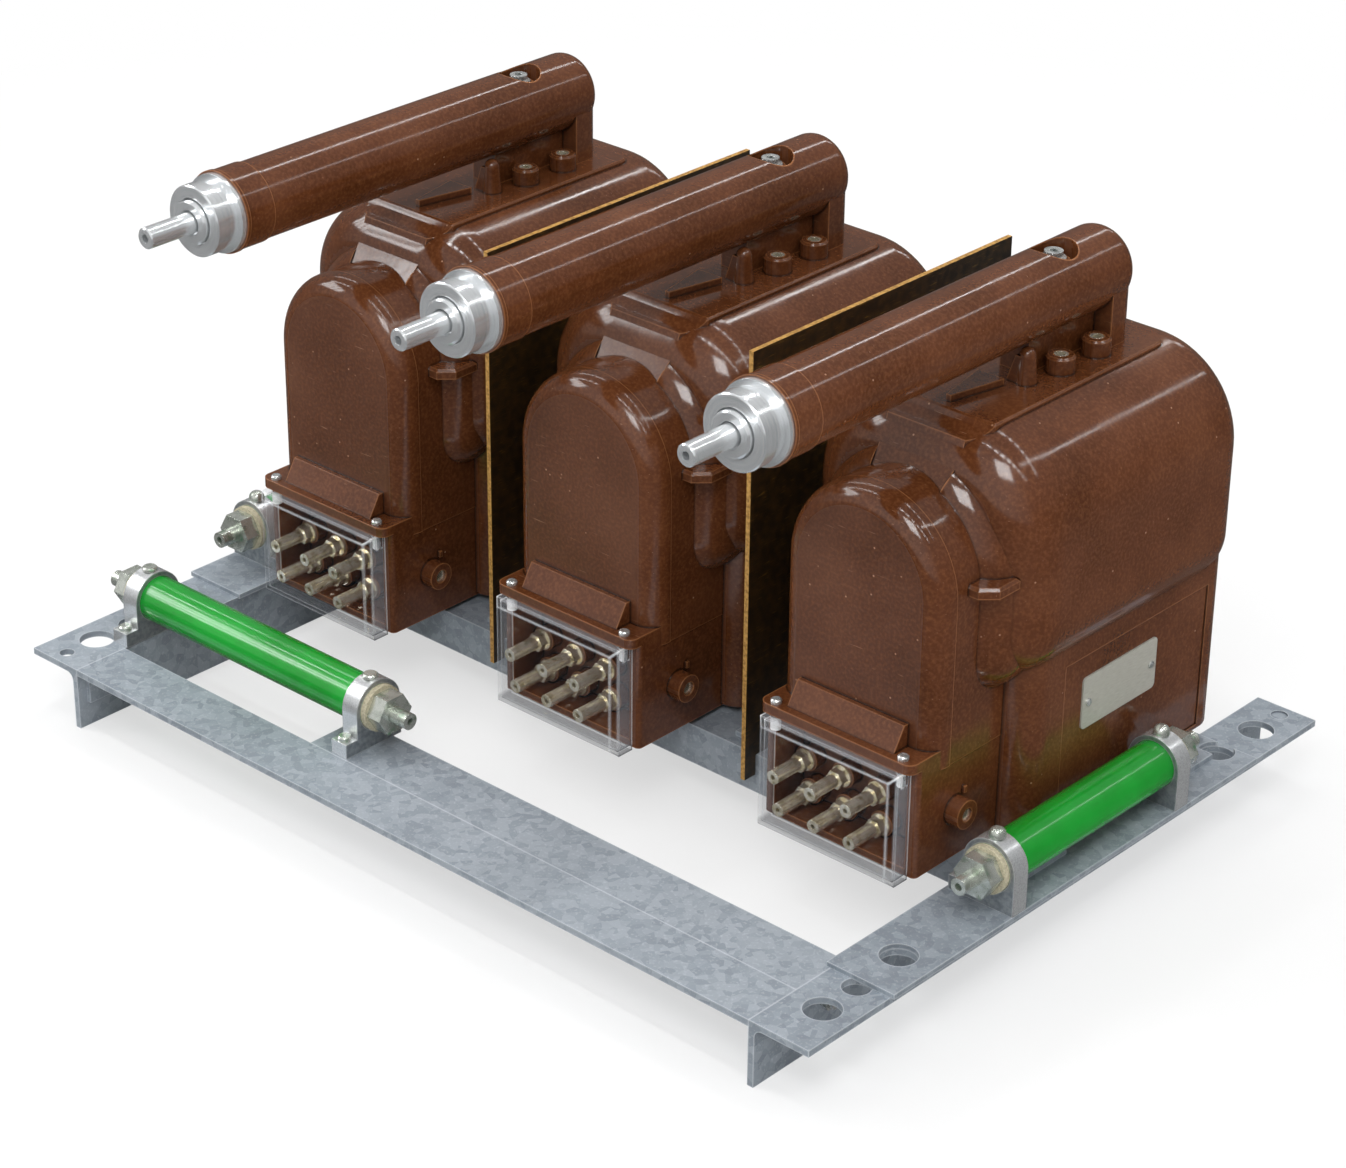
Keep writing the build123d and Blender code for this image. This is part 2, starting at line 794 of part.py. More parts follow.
def foot_washer(x, y):
    face = Pos(x, y) * (Circle(foot_washer_radius) - Circle(foot_bolt_radius))
    return along_z(face, support_low - foot_washer_height, support_low)


def foot_bolt(x, y):
    head_top = support_low - foot_washer_height
    head = along_z(Pos(x, y) * hexagon(bolt_head_flats), head_top - bolt_head_height, head_top)
    return head + rod_z(foot_bolt_radius, head_top, base_z + foot_bolt_grip, x, y)


# Frame

def side_rail(side):
    """Angle rail with its feet down; every hole is named by what it is for."""
    section = angle_face(rail_width, rail_depth, rail_wall, rail_root)
    solid = along_y(Pos(frame_inner_half, 0) * section, rail_front, rail_rear)
    for y in (mount_front_y, mount_rear_y):
        solid -= rod_z(mount_hole_radius, -rail_wall, 0, mount_x, y)
    solid -= rod_z(side_hole_radius, -rail_wall, 0, mount_x, mount_front_y + side_hole_behind)
    for y in support_lines:
        solid -= rod_z(foot_bolt_radius + hole_clearance, -rail_wall, 0, support_end - support_bolt_inset, y)
    solid -= rod_z(overlay_hole_radius, -rail_wall, 0, mount_x, overlay_hole_rear_y)
    solid -= rod_z(bracket_screw_radius + screw_clearance, -rail_wall, 0, side_axis_x, side_bracket_rear_y)
    for y, z in strip_bolt_places(side):
        solid -= rod_x(cleat_screw_radius + screw_clearance, frame_inner_half, frame_inner_half + rail_wall, y, z)
    if side < 0:
        solid -= rod_z(small_hole_radius, -rail_wall, 0, mount_x, rail_front + small_hole_end_inset)
        solid = mirror(solid, Plane.YZ)
        solid -= rod_z(bracket_screw_radius, -rail_wall, 0, front_bracket_left_x, front_foot_y)
    else:
        solid -= rod_z(overlay_hole_radius, -rail_wall, 0, mount_x, overlay_hole_front_y)
        solid -= rod_z(dimple_radius, -dimple_depth, 0, mount_x, rail_rear - dimple_end_inset)
    return solid


def overlay_strip(side):
    """Flat bar on a side rail, under the ends of the support rails."""
    solid = block(rail_middle - overlay_width / 2, overlay_outer, overlay_fronts[side], overlay_rear,
                  0, overlay_thickness)
    for y in support_lines:
        solid -= rod_z(foot_bolt_radius + hole_clearance, 0, overlay_thickness, support_end - support_bolt_inset, y)
    solid -= rod_z(bracket_screw_radius + screw_clearance, 0, overlay_thickness, side_axis_x, side_bracket_rear_y)
    solid -= rod_z(bracket_screw_radius, 0, overlay_thickness, side_axis_x - bracket_half - foot_length / 2,
                   side_bracket_front_y)
    solid -= rod_z(overlay_hole_radius, 0, overlay_thickness, mount_x, overlay_hole_rear_y)
    if side > 0:
        return solid - rod_z(overlay_hole_radius, 0, overlay_thickness, mount_x, overlay_hole_front_y)
    return mirror(solid, Plane.YZ)


def front_strip():
    """Flat bar between the side rails, flush with their tops."""
    return block(-frame_inner_half, frame_inner_half, rail_front, strip_seam, -rail_wall, 0)


def rear_strip():
    """Shorter flat bar welded along the back of the front one, under the front resistor's right bracket."""
    free_end = front_bracket_right_x - rear_strip_setback
    solid = block(free_end, frame_inner_half, strip_seam, strip_seam + rear_strip_width, -rail_wall, 0)
    return solid - rod_z(bracket_screw_radius, -rail_wall, 0, front_bracket_right_x, front_foot_y)


def strip_bolt_places(side):
    """Y and Z of the bolts that hold the strips' cleats to a side rail."""
    z = -rail_wall - cleat_leg / 2
    places = [(rail_front + front_strip_width / 2, z)]
    if side > 0:
        places.append((strip_seam + rear_strip_width / 2, z))
    return places


def strip_cleat(side, y, z):
    """Angle cleat under the end of a strip, bolted to the rail's leg."""
    inner = frame_inner_half - cleat_leg
    top = -rail_wall
    half = cleat_length / 2
    solid = block(inner, frame_inner_half, y - half, y + half, top - cleat_wall, top)
    solid += block(frame_inner_half - cleat_wall, frame_inner_half, y - half, y + half, top - cleat_leg, top)
    solid -= rod_x(cleat_screw_radius + screw_clearance, inner, frame_inner_half, y, z)
    return solid if side > 0 else mirror(solid, Plane.YZ)


def strip_bolt(side, y, z):
    head_face = frame_inner_half - cleat_wall
    nut_face = frame_inner_half + rail_wall
    solid = rod_x(cleat_head_radius, head_face - cleat_head_height, head_face, y, z)
    solid += rod_x(cleat_screw_radius, head_face, nut_face + cleat_nut_height + nut_runout, y, z)
    return solid if side > 0 else mirror(solid, Plane.YZ)


def strip_nut(side, y, z):
    nut_face = frame_inner_half + rail_wall
    face = Pos(y, z) * (hexagon(cleat_nut_flats) - Circle(cleat_screw_radius))
    solid = along_x(face, nut_face, nut_face + cleat_nut_height)
    return solid if side > 0 else mirror(solid, Plane.YZ)


def cleat_screw_x(barrier_x):
    """X of the screws that hold a barrier's cleats to the support rails."""
    return barrier_x - barrier_thickness / 2 - cleat_wall - (cleat_leg - cleat_wall) / 2


def support_rail(flange_front, width, leg_at_front):
    """Angle rail across the frame; its ends rest on the overlay strips, its leg hangs between the rails."""
    rear = flange_front + width
    solid = block(-support_end, support_end, flange_front, rear, support_low, support_top)
    leg_front = flange_front if leg_at_front else rear - support_wall
    leg_half = frame_inner_half - support_leg_gap
    solid += block(-leg_half, leg_half, leg_front, leg_front + support_wall, support_low - support_drop, support_top)
    line = flange_front + width / 2
    for side in (-1, 1):
        x = side * (support_end - support_bolt_inset)
        solid -= rod_z(foot_bolt_radius + hole_clearance, support_low, support_top, x, line)
    for unit_x in row_x:
        for side in (-1, 1):
            x = unit_x + side * foot_bolt_x
            solid -= rod_z(foot_bolt_radius + hole_clearance, support_low, support_top, x, line)
    for barrier_x in mid_gap_x:
        solid -= rod_z(cleat_screw_radius, support_low, support_top, cleat_screw_x(barrier_x), line)
    return solid


def rail_bolt_places():
    return [(side * (support_end - support_bolt_inset), y) for side in (-1, 1) for y in support_lines]


def rail_bolt(x, y):
    """Low button-head bolt through a support rail, the overlay strip and the side rail."""
    head = bevelled_head(bolt_head_flats / 2, support_top, cleat_head_height, x, y, cleat_head_height / 2)
    return head + rod_z(foot_bolt_radius, -rail_wall - bolt_head_height - nut_runout, support_top, x, y)


def rail_nut(x, y):
    face = Pos(x, y) * (hexagon(bolt_head_flats) - Circle(foot_bolt_radius))
    return along_z(face, -rail_wall - bolt_head_height, -rail_wall)


# Barriers

def barrier_plate(x):
    """Laminate sheet between two units, slotted over the support rails."""
    half = barrier_thickness / 2
    solid = block(x - half, x + half, barrier_front, barrier_rear, barrier_low, barrier_top)
    gap = barrier_slot_gap
    for front, width in ((support_front, support_front_width), (support_rear, support_rear_width)):
        solid -= block(x - half, x + half, front - gap, front + width + gap, barrier_low, support_top)
    for y in support_lines:
        solid -= rod_x(cleat_screw_radius, x - half, x + half, y, cleat_screw_z)
    return solid


def barrier_cleat(x, y):
    """Angle cleat on a support rail, beside the barrier."""
    face_x = x - barrier_thickness / 2
    half = cleat_length / 2
    top = support_top
    solid = block(face_x - cleat_leg, face_x, y - half, y + half, top, top + cleat_wall)
    solid += block(face_x - cleat_wall, face_x, y - half, y + half, top, top + cleat_leg)
    solid -= rod_z(cleat_screw_radius + screw_clearance, top, top + cleat_wall, cleat_screw_x(x), y)
    return solid - rod_x(cleat_screw_radius + screw_clearance, face_x - cleat_wall, face_x, y, cleat_screw_z)


def barrier_screws(x, y):
    """One screw down into the rail and one across into the barrier."""
    face_x = x - barrier_thickness / 2
    z = support_top + cleat_wall
    down_x = cleat_screw_x(x)
    down = rod_z(cleat_head_radius, z, z + cleat_head_height, down_x, y)
    down += rod_z(cleat_screw_radius, support_low, z, down_x, y)
    head_x = face_x - cleat_wall
    across = rod_x(cleat_head_radius, head_x - cleat_head_height, head_x, y, cleat_screw_z)
    across += rod_x(cleat_screw_radius, head_x, face_x + barrier_thickness, y, cleat_screw_z)
    return [down, across]


# Resistors: drawn along Y about the origin, then placed

def resistor_tube(span):
    half = (span + bracket_thickness) / 2
    return along_y(Circle(resistor_radius) - Circle(resistor_bore), -half, half)


def resistor_bracket(y, with_foot):
    """Cast clamp bracket: arch round the tube, foot block with a screw hole on one side."""
    half = bracket_thickness / 2
    solid = along_y(arch(bracket_half, -bracket_axis, 0), y - half, y + half)
    solid -= rod_y(resistor_radius + bracket_fit, y - half, y + half, 0, 0)
    solid -= rod_z(bracket_screw_radius, resistor_radius, bracket_half, 0, y)
    foot_top = -bracket_axis + foot_height
    if not with_foot:
        return solid - rod_z(bracket_screw_radius, -bracket_axis, foot_top - blind_hole_cover, 0, y)
    foot_x = -bracket_half - foot_length
    solid += block(foot_x, -bracket_half, y - half, y + half, -bracket_axis, foot_top)
    return solid - rod_z(bracket_screw_radius + screw_clearance, -bracket_axis, foot_top, foot_x + foot_length / 2, y)


def dome_screw(y):
    """Tall round-headed clamp screw on top of a bracket, down to the tube."""
    head = rod_z(dome_head_radius, bracket_half, bracket_half + dome_head_height, 0, y)
    head = fillet(head.faces().sort_by(Axis.Z)[-1].edges(), dome_head_round)
    return head + rod_z(bracket_screw_radius, resistor_radius, bracket_half, 0, y)


def low_screw(y):
    """Flat-headed clamp screw on top of a bracket, down to the tube."""
    head = bevelled_head(low_head_radius, bracket_half, low_head_height, 0, y, head_bevel)
    return head + rod_z(bracket_screw_radius, resistor_radius, bracket_half, 0, y)


def foot_screw(y, carrier):
    """Screw through the foot block into the steel below."""
    x = -bracket_half - foot_length / 2
    top = -bracket_axis + foot_height
    head = bevelled_head(bracket_screw_head_radius, top, bracket_screw_head_height, x, y, head_bevel)
    return head + rod_z(bracket_screw_radius, -bracket_axis - carrier, top, x, y)


def base_screw(y):
    """Screw from below, for a bracket that has no room for a foot."""
    below = -bracket_axis - overlay_thickness - rail_wall
    head = rod_z(bracket_screw_head_radius, below - bracket_screw_head_height, below, 0, y)
    return head + rod_z(bracket_screw_radius, below, -bracket_axis + foot_height - blind_hole_cover, 0, y)


def resistor_stud(span):
    reach = (span + bracket_thickness) / 2 + stud_reach
    solid = rod_y(resistor_stud_radius, -reach, reach, 0, 0)
    solid -= rod_y(resistor_stud_bore, -reach, -reach + resistor_stud_bore_depth, 0, 0)
    return solid - rod_y(resistor_stud_bore, reach - resistor_stud_bore_depth, reach, 0, 0)


def resistor_nut(span, end):
    """Hexagon nut on one end of a resistor, its outer corners turned off."""
    start = end * ((span + bracket_thickness) / 2 + ceramic_thickness)
    stop = start + end * resistor_nut_height
    front, rear = min(start, stop), max(start, stop)
    face = hexagon(resistor_nut_flats)
    corner_radius = face.bounding_box().diagonal / 2
    turned_blank = rod_y(corner_radius, front, rear, 0, 0)
    outer = front_edges(turned_blank) if end < 0 else rear_edges(turned_blank)
    solid = along_y(face, front, rear) & chamfer(outer, resistor_nut_bevel)
    return solid - rod_y(resistor_stud_radius, front, rear, 0, 0)


def ceramic_washer(span, end):
    start = end * (span + bracket_thickness) / 2
    stop = start + end * ceramic_thickness
    face = Circle(resistor_radius) - Circle(resistor_stud_radius)
    return along_y(face, min(start, stop), max(start, stop))


def resistor_set():
    """Every resistor by name: its place, bracket span, the steel under its feet, clamp screw and footed brackets."""
    side_span = side_bracket_rear_y - side_bracket_front_y
    side_middle_y = (side_bracket_front_y + side_bracket_rear_y) / 2
    side_z = overlay_thickness + bracket_axis
    front_middle_x = (front_bracket_left_x + front_bracket_right_x) / 2
    front = Pos(front_middle_x, front_resistor_y, bracket_axis) * Rot(0, 0, 90)
    left = Pos(-side_axis_x, side_middle_y, side_z) * Rot(0, 0, 180)
    right = Pos(side_axis_x, side_middle_y, side_z)
    return {
        "front": (front, front_resistor_span, rail_wall, low_screw, (-1, 1)),
        "left": (left, side_span, overlay_thickness, dome_screw, (1,)),
        "right": (right, side_span, overlay_thickness, dome_screw, (-1,)),
    }


# Rating plate

def nameplate():
    x = unit_pitch + block_half - panel_depth
    face = Pos(plate_y, base_z + plate_z) * RectangleRounded(plate_length, plate_height, plate_corner)
    for y, z in plate_rivet_places():
        face -= Pos(y, z) * Circle(rivet_radius)
    return along_x(face, x, x + plate_thickness)


def plate_rivet(y, z):
    x = unit_pitch + block_half - panel_depth
    solid = rod_x(rivet_radius, x - rivet_depth, x + plate_thickness, y, z)
    return solid + rod_x(rivet_head_radius, x + plate_thickness, x + plate_thickness + rivet_head_height, y, z)


# Build and write every node

def per_unit(make):
    """The same small pieces on all three units."""
    return [Pos(x, 0, 0) * piece for x in row_x for piece in make()]


def write_units():
    plain = cast_body(False)
    plated = cast_body(True)
    housing = fuse_housing()
    hub = contact_hub()
    ring = contact_ring()
    spindle = contact_spindle()
    cartridge = fuse_cartridge()
    cover = terminal_cover()
    for name, x in zip(row_names, row_x):
        here = Pos(x, 0, 0)
        body = plated if name == row_names[-1] else plain
        export(f"cast_body_{name}", here * body)
        export(f"fuse_housing_{name}", here * housing)
        export(f"contact_hub_{name}", here * hub)
        export(f"contact_ring_{name}", here * ring)
        export(f"contact_spindle_{name}", here * spindle)
        export(f"fuse_cartridge_{name}", here * cartridge)
        export(f"terminal_cover_{name}", here * cover)


def write_unit_fittings():
    export("terminal_studs", per_unit(lambda: [terminal_stud(x, z) for x, z in terminal_places()]))
    export("terminal_nuts", per_unit(lambda: [terminal_nut(x, z) for x, z in terminal_places()]))
    export("terminal_washers", per_unit(lambda: [terminal_washer(x, z) for x, z in terminal_places()]))
    export("cover_screws", per_unit(lambda: [cover_screw(x, y) for x, y in cover_screw_places()]))
    export("top_inserts", per_unit(lambda: [top_bush(y) for y in top_boss_y]))
    export("side_inserts", per_unit(lambda: [side_bush()]))
    export("lug_bolts", per_unit(lambda: [lug_bolt()]))
    export("lug_washers", per_unit(lambda: [lug_washer()]))
    export("base_inserts", per_unit(lambda: [foot_bush(x, y) for x, y in foot_places()]))
    export("base_spacers", per_unit(lambda: [foot_spacer(x, y) for x, y in foot_places()]))
    export("unit_washers", per_unit(lambda: [foot_washer(x, y) for x, y in foot_places()]))
    export("unit_bolts", per_unit(lambda: [foot_bolt(x, y) for x, y in foot_places()]))
    export("nameplate", nameplate())
    export("nameplate_rivets", [plate_rivet(y, z) for y, z in plate_rivet_places()])


def write_frame():
    sides = {-1: "left", 1: "right"}
    for side, name in sides.items():
        export(f"side_rail_{name}", side_rail(side))
        export(f"overlay_strip_{name}", overlay_strip(side))
    export("front_strip", front_strip())
    export("rear_strip", rear_strip())
    cleats = [(side, y, z) for side in sides for y, z in strip_bolt_places(side)]
    export("strip_cleats", [strip_cleat(*place) for place in cleats])
    export("strip_bolts", [strip_bolt(*place) for place in cleats])
    export("strip_nuts", [strip_nut(*place) for place in cleats])
    export("support_rail_front", support_rail(support_front, support_front_width, True))
    export("support_rail_rear", support_rail(support_rear, support_rear_width, False))
    export("rail_bolts", [rail_bolt(x, y) for x, y in rail_bolt_places()])
    export("rail_nuts", [rail_nut(x, y) for x, y in rail_bolt_places()])


def write_barriers():
    for x, name in zip(mid_gap_x, ("left", "right")):
        export(f"barrier_plate_{name}", barrier_plate(x))
    spots = [(x, y) for x in mid_gap_x for y in support_lines]
    export("barrier_cleats", [barrier_cleat(x, y) for x, y in spots])
    export("barrier_screws", [screw for x, y in spots for screw in barrier_screws(x, y)])


def write_resistors():
    groups = {"brackets": [], "studs": [], "nuts": [], "washers": [], "screws": []}
    for name, (here, span, carrier, clamp_screw, footed_ends) in resistor_set().items():
        export(f"resistor_{name}", here * resistor_tube(span))
        groups["studs"].append(here * resistor_stud(span))
        for end in (-1, 1):
            y = end * span / 2
            footed = end in footed_ends
            held_by = foot_screw(y, carrier) if footed else base_screw(y)
            groups["brackets"].append(here * resistor_bracket(y, footed))
            groups["screws"].append(here * clamp_screw(y))
            groups["screws"].append(here * held_by)
            groups["nuts"].append(here * resistor_nut(span, end))
            groups["washers"].append(here * ceramic_washer(span, end))
    export("resistor_brackets", groups["brackets"])
    export("resistor_studs", groups["studs"])
    export("resistor_nuts", groups["nuts"])
    export("ceramic_washers", groups["washers"])
    export("bracket_screws", groups["screws"])


os.makedirs("parts", exist_ok=True)
write_units()
write_unit_fittings()
write_frame()
write_barriers()
write_resistors()
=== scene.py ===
import bpy
import math
from mathutils import Matrix, Vector

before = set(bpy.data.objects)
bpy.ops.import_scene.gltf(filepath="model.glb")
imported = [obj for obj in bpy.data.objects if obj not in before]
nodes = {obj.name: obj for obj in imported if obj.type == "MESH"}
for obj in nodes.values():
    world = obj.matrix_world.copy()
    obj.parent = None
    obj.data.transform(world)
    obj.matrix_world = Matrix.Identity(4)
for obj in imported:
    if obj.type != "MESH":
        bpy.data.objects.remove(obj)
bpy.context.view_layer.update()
mm = 0.001
unitNames = ("left", "middle", "right")
print("CAD nodes loaded:", len(nodes))


# Small helpers

edgeFinder = {"openFace": 0.93, "fullEdge": 0.6, "samples": 4}


def toLinear(hexColour):
    parts = [int(hexColour[i:i + 2], 16) / 255 for i in (1, 3, 5)]
    return [c / 12.92 if c <= 0.04045 else ((c + 0.055) / 1.055) ** 2.4 for c in parts] + [1.0]


def perMetre(sizeMm):
    # textures are scaled by how many of their features fit in a metre
    return 1000 / sizeMm


def addNode(tree, kind, inputs=None, stops=(), **settings):
    # an input takes a socket, a node (its first live output), a hex colour or a plain value
    node = tree.nodes.new("ShaderNode" + kind)
    for name, value in settings.items():
        setattr(node, name, value)
    for name, value in (inputs or {}).items():
        if isinstance(name, int):
            socket = node.inputs[name]
        else:
            socket = next(s for s in node.inputs if s.enabled and s.name == name)
        if isinstance(value, bpy.types.Node):
            value = next(s for s in value.outputs if s.enabled)
        if isinstance(value, bpy.types.NodeSocket):
            tree.links.new(value, socket)
        else:
            socket.default_value = toLinear(value) if isinstance(value, str) else value
    if stops:
        elements = node.color_ramp.elements
        while len(elements) < len(stops):
            elements.new(0.5)
        for element, (position, shade) in zip(elements, stops):
            element.position = position
            element.color = toLinear(shade)
    return node


def newMaterial(name):
    material = bpy.data.materials.new(name)
    material.use_nodes = True
    material.node_tree.nodes.clear()
    place = addNode(material.node_tree, "TexCoord").outputs["Object"]
    return material, material.node_tree, place


def finishMaterial(tree, inputs):
    shader = addNode(tree, "BsdfPrincipled", inputs)
    addNode(tree, "OutputMaterial", {"Surface": shader})


def findEdges(tree, reachMm, outside=True):
    # 1 along outside edges (or along creases), 0 on open faces
    closed = addNode(tree, "AmbientOcclusion", {"Distance": reachMm * mm},
                     inside=outside, only_local=True, samples=edgeFinder["samples"])
    return addNode(tree, "MapRange", {"Value": closed.outputs["AO"], "From Min": edgeFinder["openFace"],
                                      "From Max": edgeFinder["fullEdge"]})


def facing(tree, axis):
    # how far the flat face looks along one axis, 0 to 1, either way
    normal = addNode(tree, "NewGeometry").outputs["True Normal"]
    parts = addNode(tree, "SeparateXYZ", {"Vector": normal})
    return addNode(tree, "Math", {0: parts.outputs[axis]}, operation="ABSOLUTE")


def cornersOf(name):
    return [Vector(corner) for corner in nodes[name].bound_box]


def middleOf(name):
    corners = cornersOf(name)
    return sum(corners, Vector()) / len(corners)


def dress(material, *names):
    for name in names:
        slots = nodes[name].data.materials
        slots.clear()
        slots.append(material)


# Cast units and fuse housings

castResin = {
    "browns": [(0.3, "#4C2813"), (0.5, "#58301A"), (0.72, "#643A22")],
    # the pale tint serves both the filler mottle and the painted edge highlight; the near-black crease colour
    # is painted shade
    "filler": "#A97F62", "paleTintAndEdgeHighlight": "#A0683F", "creaseShade": "#1C0C04",
    "patchMm": 55, "mottleMm": 2.0, "speckMm": 7, "scratchMm": 14, "peelMm": 7,
    "edgeMm": 0.9, "creaseMm": 1.4, "softenMm": 0.7, "peelDepthMm": 0.3,
    "mottleShare": 0.2, "scratchShare": 0.5, "edgeHighlightShare": 0.95, "peelShare": 0.12,
    "glossRoughness": 0.12, "flatRoughness": 0.4, "ior": 1.55,
}


def makeCastResin():
    # Cast epoxy resin from a polished mould: deep red-brown gloss with filler specks and hairline scratches.
    # The flat tower fronts are a little duller, the outside edges carry a painted highlight, a paler line,
    # and the creases a painted shade close to black.
    look = castResin
    material, tree, place = newMaterial("castEpoxyResin")
    patches = addNode(tree, "TexNoise", {"Vector": place, "Scale": perMetre(look["patchMm"]), "Detail": 5.0})
    colour = addNode(tree, "ValToRGB", {"Fac": patches}, stops=look["browns"])

    # real filler grains are under 0.1 mm, so they are drawn as a coarser mottle with a few pale specks
    mottle = addNode(tree, "TexNoise", {"Vector": place, "Scale": perMetre(look["mottleMm"]), "Detail": 2.0})
    mottled = addNode(tree, "MapRange", {"Value": mottle, "From Min": 0.42, "From Max": 0.75,
                                         "To Max": look["mottleShare"]})
    colour = addNode(tree, "Mix", {"Factor": mottled, "A": colour, "B": look["paleTintAndEdgeHighlight"]}, data_type="RGBA")
    cells = addNode(tree, "TexVoronoi", {"Vector": place, "Scale": perMetre(look["speckMm"])})
    dot = addNode(tree, "MapRange", {"Value": cells.outputs["Distance"], "From Min": 0.1, "From Max": 0.05})
    chosen = addNode(tree, "Math", {0: cells.outputs["Color"], 1: 0.8}, operation="GREATER_THAN")
    speck = addNode(tree, "Math", {0: dot, 1: chosen}, operation="MULTIPLY")
    colour = addNode(tree, "Mix", {"Factor": speck, "A": colour, "B": look["filler"]}, data_type="RGBA")

    tilted = addNode(tree, "Mapping", {"Vector": place, "Rotation": (0.5, 0.7, 0.3),
                                       "Scale": (1.0, 18.0, 18.0)})
    hairlines = addNode(tree, "TexNoise", {"Vector": tilted, "Scale": perMetre(look["scratchMm"]),
                                           "Detail": 1.0})
    scratch = addNode(tree, "MapRange", {"Value": hairlines, "From Min": 0.74, "From Max": 0.8,
                                         "To Max": look["scratchShare"]})
    colour = addNode(tree, "Mix", {"Factor": scratch, "A": colour, "B": look["filler"]}, data_type="RGBA")

    # painted highlight: a paler line along the outside edges, where they catch the light
    edge = addNode(tree, "Math", {0: findEdges(tree, look["edgeMm"]), 1: look["edgeHighlightShare"]},
                   operation="MULTIPLY")
    colour = addNode(tree, "Mix", {"Factor": edge, "A": colour, "B": look["paleTintAndEdgeHighlight"]}, data_type="RGBA")
    # painted shade: the creases and the seams under the ledges are darkened almost to black
    creaseShade = findEdges(tree, look["creaseMm"], outside=False)
    colour = addNode(tree, "Mix", {"Factor": creaseShade, "A": colour, "B": look["creaseShade"]}, data_type="RGBA")

    flat = addNode(tree, "MapRange", {"Value": facing(tree, "Y"), "From Min": 0.97, "From Max": 0.995,
                                      "To Min": look["glossRoughness"], "To Max": look["flatRoughness"]})
    smudge = addNode(tree, "MapRange", {"Value": patches, "From Min": 0.3, "From Max": 0.7,
                                        "To Min": -0.04, "To Max": 0.06})
    roughness = addNode(tree, "Math", {0: flat, 1: smudge}, operation="ADD")
    peel = addNode(tree, "TexNoise", {"Vector": place, "Scale": perMetre(look["peelMm"]), "Detail": 1.0})
    rounded = addNode(tree, "Bevel", {"Radius": look["softenMm"] * mm}, samples=2)
    surface = addNode(tree, "Bump", {"Height": peel, "Strength": look["peelShare"],
                                     "Distance": look["peelDepthMm"] * mm, "Normal": rounded})
    finishMaterial(tree, {"Base Color": colour, "Roughness": roughness, "Normal": surface,
                          "IOR": look["ior"]})
    return material


# Turned contact fittings

turnedMetal = {
    "tones": [(0.3, "#DDE1E4"), (0.6, "#F4F6F7")],
    "grooveMm": 0.7, "softenMm": 0.4, "grooveDepthMm": 0.05, "grooveShare": 0.06,
    "smooth": 0.17, "rough": 0.27, "metallic": 0.75,
}


def makeTurnedAluminium(unit):
    # Bright turned aluminium: fine tool rings about the fuse axis, light and dark bands that run round
    # it. Real tool marks are near 0.1 mm, drawn coarser so that they show.
    look = turnedMetal
    material, tree, place = newMaterial("turnedAluminium_" + unit)
    axis = middleOf("contact_hub_" + unit)
    centred = addNode(tree, "Mapping", {"Vector": place, "Location": (-axis.x, 0, -axis.z)})
    across = addNode(tree, "VectorMath", {0: centred, 1: (1, 0, 1)}, operation="MULTIPLY")
    radius = addNode(tree, "VectorMath", {0: across}, operation="LENGTH")
    along = addNode(tree, "SeparateXYZ", {"Vector": centred}).outputs["Y"]
    lathe = addNode(tree, "Math", {0: radius, 1: along}, operation="ADD")
    rings = addNode(tree, "TexNoise", {"W": lathe, "Scale": perMetre(look["grooveMm"]), "Detail": 2.0},
                    noise_dimensions="1D")
    colour = addNode(tree, "ValToRGB", {"Fac": rings}, stops=look["tones"])
    roughness = addNode(tree, "MapRange", {"Value": rings, "From Min": 0.3, "From Max": 0.7,
                                           "To Min": look["rough"], "To Max": look["smooth"]})
    rounded = addNode(tree, "Bevel", {"Radius": look["softenMm"] * mm}, samples=2)
    surface = addNode(tree, "Bump", {"Height": rings, "Strength": look["grooveShare"],
                                     "Distance": look["grooveDepthMm"] * mm, "Normal": rounded})
    finishMaterial(tree, {"Base Color": colour, "Metallic": look["metallic"], "Roughness": roughness,
                          "Normal": surface})
    return material


# Small plated and painted metal parts

platedMetals = {
    "nickelPlatedBrass": {
        "tones": [(0.35, "#D9CDAB"), (0.58, "#FAF4E4")], "stainAndCreaseShade": "#7A6A45", "patchMm": 4, "roughness": 0.2,
    },
    "zincPlatedSteel": {
        "tones": [(0.35, "#B0B4B2"), (0.58, "#E6E8E7")], "stainAndCreaseShade": "#6F7672", "patchMm": 5, "roughness": 0.24,
    },
    "zincWithPaintTraces": {
        "tones": [(0.35, "#A5ADA1"), (0.58, "#D6DAD2")], "stainAndCreaseShade": "#4FA06A", "patchMm": 7, "roughness": 0.24,
    },
    "every": {"creaseMm": 1.5, "softenMm": 0.5, "blotchShare": 0.6, "metallic": 0.75},
}


def makePlatedMetal(name):
    # Thin electroplate over turned metal: bright, unevenly toned, with a real stain in random blotches and
    # painted shade in the creases, both in the same tint
    look = {**platedMetals["every"], **platedMetals[name]}
    material, tree, place = newMaterial(name)
    tone = addNode(tree, "TexNoise", {"Vector": place, "Scale": perMetre(look["patchMm"]), "Detail": 4.0})
    colour = addNode(tree, "ValToRGB", {"Fac": tone}, stops=look["tones"])
    # painted shade in the creases, joined below with the real stain in random blotches
    creaseShade = findEdges(tree, look["creaseMm"], outside=False)
    blotch = addNode(tree, "MapRange", {"Value": tone, "From Min": 0.36, "From Max": 0.3,
                                        "To Max": look["blotchShare"]})
    stainedAndShaded = addNode(tree, "Math", {0: creaseShade, 1: blotch}, operation="MAXIMUM")
    colour = addNode(tree, "Mix", {"Factor": stainedAndShaded, "A": colour, "B": look["stainAndCreaseShade"]}, data_type="RGBA")
    roughness = addNode(tree, "MapRange", {"Value": tone, "To Min": look["roughness"] + 0.12,
                                           "To Max": look["roughness"] - 0.08})
    rounded = addNode(tree, "Bevel", {"Radius": look["softenMm"] * mm}, samples=2)
    finishMaterial(tree, {"Base Color": colour, "Metallic": look["metallic"], "Roughness": roughness,
                          "Normal": rounded})
    return material


# Frame steel

